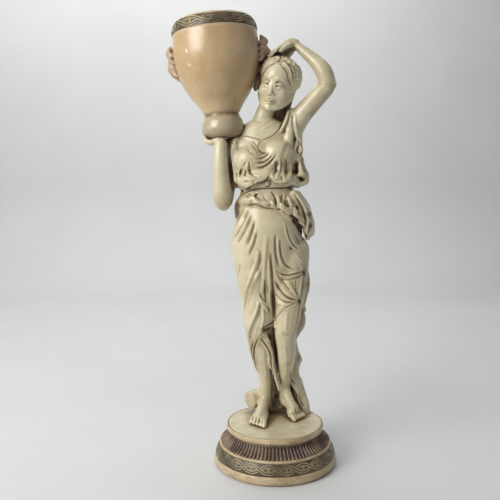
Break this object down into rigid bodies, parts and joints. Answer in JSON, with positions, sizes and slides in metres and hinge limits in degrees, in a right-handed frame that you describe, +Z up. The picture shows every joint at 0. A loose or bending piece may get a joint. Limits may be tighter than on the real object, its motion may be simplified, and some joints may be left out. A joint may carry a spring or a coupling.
{
  "type": "garden statue of a woman carrying an urn",
  "caption": "Painted iron garden statue: a draped barefoot woman carries an open urn on her right shoulder, her left hand on her head, on a round fluted plinth.",
  "frame": {"origin": "middle of the plinth's flat underside", "axes": "+Z up, -Y the way the figure faces, +X to its left hand side, which is the viewer's right"},
  "size_m": [0.3389, 0.2508, 0.9014],
  "materials": {
    "plinth_paint": "brown, green-bronze and cream paint over iron, satin, worn on the raised edges",
    "ivory_paint": "glossy ivory paint over iron, with brown antique wash in the hollows",
    "tan_paint": "glossy tan paint over iron, with a green-bronze rim band"
  },
  "bodies": {
    "root": {"plinth": "plinth_paint", "figure": "ivory_paint", "urn": "tan_paint"}
  },
  "joints": []
}
